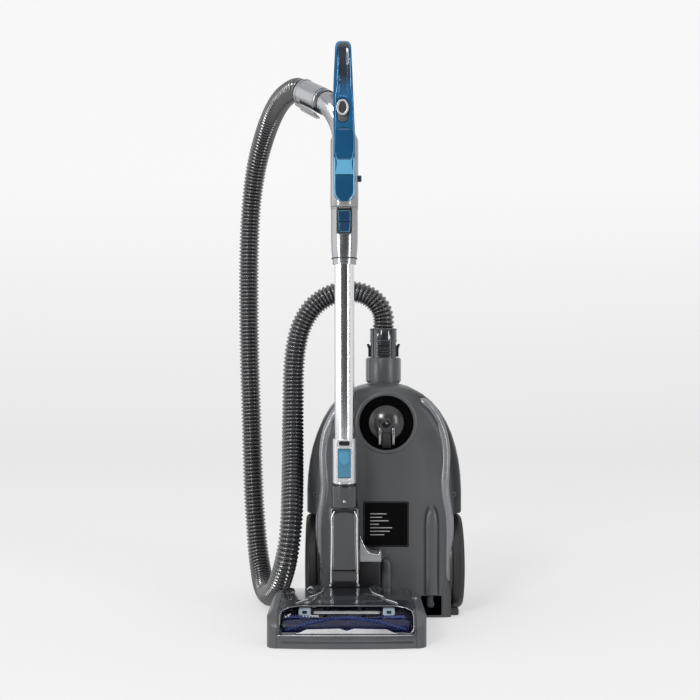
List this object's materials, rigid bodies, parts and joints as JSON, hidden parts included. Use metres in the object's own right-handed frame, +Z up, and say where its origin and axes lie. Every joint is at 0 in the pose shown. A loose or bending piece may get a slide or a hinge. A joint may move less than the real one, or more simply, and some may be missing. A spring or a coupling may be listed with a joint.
{
  "type": "cylinder vacuum cleaner",
  "caption": "Cylinder vacuum cleaner parked upright with its telescopic wand and powered floor head docked on the underside and its hose looped to one side.",
  "frame": {"origin": "middle of the rear end face that the canister stands on, on the floor", "axes": "+Z up along the wand, -Y towards the docked wand and the canister's underside, +Y towards the canister's lid, +X to the right seen from the wand side"},
  "size_m": [0.4412, 0.512, 1.042],
  "materials": {
    "shell": "satin dark grey moulding",
    "dark_shell": "near-black moulding",
    "black": "black",
    "rubber": "matte",
    "silver": "satin silver-grey",
    "bright_silver": "light silver",
    "chrome": "polished tube",
    "blue": "metallic blue",
    "deep_blue": "dark blue",
    "light_blue": "cyan blue",
    "hose": "charcoal corrugated",
    "steel": "machined",
    "clear": "smoked clear",
    "bristle": "blue bristle",
    "white": "white",
    "paper": "filter fleece",
    "foam": "filter foam",
    "label": "black printed film"
  },
  "bodies": {
    "canister": {"base_shell": "shell", "top_shell": "shell", "carry_handle": "dark_shell", "exhaust_grille": "black", "exhaust_filter": "foam", "cord_bush": "black", "rating_plate": "label", "motor_housing": "black", "bulkhead": "dark_shell", "motor_filter": "foam", "dust_bag": "paper", "bag_holder": "deep_blue", "hose_socket": "shell", "park_socket": "dark_shell"},
    "lid": {"bag_lid": "shell"},
    "latch": {"lid_latch": "dark_shell"},
    "power": {"power_button": "blue"},
    "rewind": {"rewind_button": "silver"},
    "impeller": {"motor_impeller": "steel"},
    "reel": {"cord_reel": "black"},
    "wheel_l": {"wheel_left": "dark_shell"},
    "wheel_r": {"wheel_right": "dark_shell"},
    "castor": {"castor_dome": "dark_shell"},
    "castor_roll": {"castor_wheel": "rubber"},
    "inlet": {"inlet_cuff": "shell"},
    "tab_l": {"release_tab_left": "black"},
    "tab_r": {"release_tab_right": "black"},
    "wand": {"outer_tube": "chrome", "telescope_collar": "silver", "lower_collar": "bright_silver", "neck_socket": "silver", "neck_arm": "silver", "neck_knuckle": "dark_shell", "park_hook": "bright_silver", "hose_lower": "hose"},
    "wand_button": {"telescope_button": "blue"},
    "head_button": {"lower_button": "light_blue"},
    "handle": {"inner_tube": "chrome", "handle_body": "silver", "grip_shell": "blue", "grip_strip": "dark_shell", "fascia": "deep_blue", "hose_upper": "hose"},
    "slide_switch": {"slider": "bright_silver"},
    "knob": {"side_knob": "deep_blue"},
    "cuff": {"hose_cuff": "silver"},
    "cuff_lever": {"cuff_latch": "silver"},
    "head": {"head_base": "dark_shell", "head_cover": "shell", "head_window": "clear", "front_bumper": "black", "end_cap_left": "shell", "end_cap_right": "shell", "light_bar": "white", "brush_motor": "steel", "drive_belt": "rubber"},
    "roller": {"brush_roller": "bristle"},
    "head_wheel_l": {"head_wheel_left": "rubber"},
    "head_wheel_r": {"head_wheel_right": "rubber"}
  },
  "joints": [
    {"name": "lid_open", "type": "hinge", "parent": "canister", "child": "lid", "pos_m": [0, 0.113, 0.206], "axis": [-1, 0, 0], "range_deg": [0, 80]},
    {"name": "latch_press", "type": "slide", "parent": "lid", "child": "latch", "axis": [0, 0, -1], "range_m": [0, 0.004], "stiffness_N_per_m": 400, "springref_m": -0.002},
    {"name": "power_press", "type": "slide", "parent": "canister", "child": "power", "axis": [0, -1, 0], "range_m": [0, 0.005], "stiffness_N_per_m": 400, "springref_m": -0.002},
    {"name": "rewind_press", "type": "slide", "parent": "canister", "child": "rewind", "axis": [0, -1, 0], "range_m": [0, 0.005], "stiffness_N_per_m": 400, "springref_m": -0.002},
    {"name": "impeller_spin", "type": "hinge", "parent": "canister", "child": "impeller", "pos_m": [-0.052, 0, 0.16], "axis": [0, 0, 1], "continuous": true},
    {"name": "reel_spin", "type": "hinge", "parent": "canister", "child": "reel", "pos_m": [0.056, 0, 0.092], "axis": [1, 0, 0], "continuous": true},
    {"name": "wheel_l_spin", "type": "hinge", "parent": "canister", "child": "wheel_l", "pos_m": [-0.14, -0.035, 0.092], "axis": [1, 0, 0], "continuous": true},
    {"name": "wheel_r_spin", "type": "hinge", "parent": "canister", "child": "wheel_r", "pos_m": [0.14, -0.035, 0.092], "axis": [1, 0, 0], "continuous": true},
    {"name": "castor_swivel", "type": "hinge", "parent": "canister", "child": "castor", "pos_m": [0.003, -0.1, 0.358], "axis": [0, 1, 0], "continuous": true},
    {"name": "castor_spin", "type": "hinge", "parent": "castor", "child": "castor_roll", "pos_m": [0.003, -0.109, 0.329], "axis": [1, 0, 0], "continuous": true},
    {"name": "inlet_swivel", "type": "hinge", "parent": "canister", "child": "inlet", "pos_m": [0, -0.02, 0.5], "axis": [0, 0, 1], "continuous": true},
    {"name": "tab_l_press", "type": "slide", "parent": "inlet", "child": "tab_l", "axis": [1, 0, 0], "range_m": [0, 0.0015], "stiffness_N_per_m": 400, "springref_m": -0.002},
    {"name": "tab_r_press", "type": "slide", "parent": "inlet", "child": "tab_r", "axis": [-1, 0, 0], "range_m": [0, 0.0015], "stiffness_N_per_m": 400, "springref_m": -0.002},
    {"name": "park_lift", "type": "slide", "parent": "canister", "child": "wand", "axis": [0, 0, 1], "range_m": [0, 0.15]},
    {"name": "telescope_press", "type": "slide", "parent": "wand", "child": "wand_button", "axis": [0, 1, 0], "range_m": [0, 0.002], "stiffness_N_per_m": 400, "springref_m": -0.002},
    {"name": "release_press", "type": "slide", "parent": "wand", "child": "head_button", "axis": [0, 1, 0], "range_m": [0, 0.002], "stiffness_N_per_m": 400, "springref_m": -0.002},
    {"name": "telescope", "type": "slide", "parent": "wand", "child": "handle", "axis": [0, 0, 1], "range_m": [0, 0.3]},
    {"name": "power_slide", "type": "slide", "parent": "handle", "child": "slide_switch", "axis": [0, 0, -1], "range_m": [0, 0.011]},
    {"name": "knob_press", "type": "slide", "parent": "handle", "child": "knob", "axis": [-1, 0, 0], "range_m": [0, 0.0015], "stiffness_N_per_m": 400, "springref_m": -0.002},
    {"name": "cuff_swivel", "type": "hinge", "parent": "handle", "child": "cuff", "pos_m": [-0.112, -0.15, 0.941], "axis": [-0.6086, 0.6694, 0.426], "continuous": true},
    {"name": "lever_press", "type": "hinge", "parent": "handle", "child": "cuff_lever", "pos_m": [-0.13052, -0.14029, 0.91805], "axis": [0.6499, 0.7285, -0.2164], "range_deg": [0, 3], "stiffness_Nm_per_rad": 0.6, "springref_deg": -5.73},
    {"name": "head_tilt", "type": "hinge", "parent": "wand", "child": "head", "pos_m": [-0.074, -0.158, 0.044], "axis": [1, 0, 0], "range_deg": [0, 48]},
    {"name": "roller_spin", "type": "hinge", "parent": "head", "child": "roller", "pos_m": [-0.0695, -0.296, 0.027], "axis": [1, 0, 0], "continuous": true},
    {"name": "head_wheel_l_spin", "type": "hinge", "parent": "head", "child": "head_wheel_l", "pos_m": [-0.1615, -0.146, 0.0121], "axis": [1, 0, 0], "continuous": true},
    {"name": "head_wheel_r_spin", "type": "hinge", "parent": "head", "child": "head_wheel_r", "pos_m": [0.0225, -0.146, 0.0121], "axis": [1, 0, 0], "continuous": true}
  ]
}
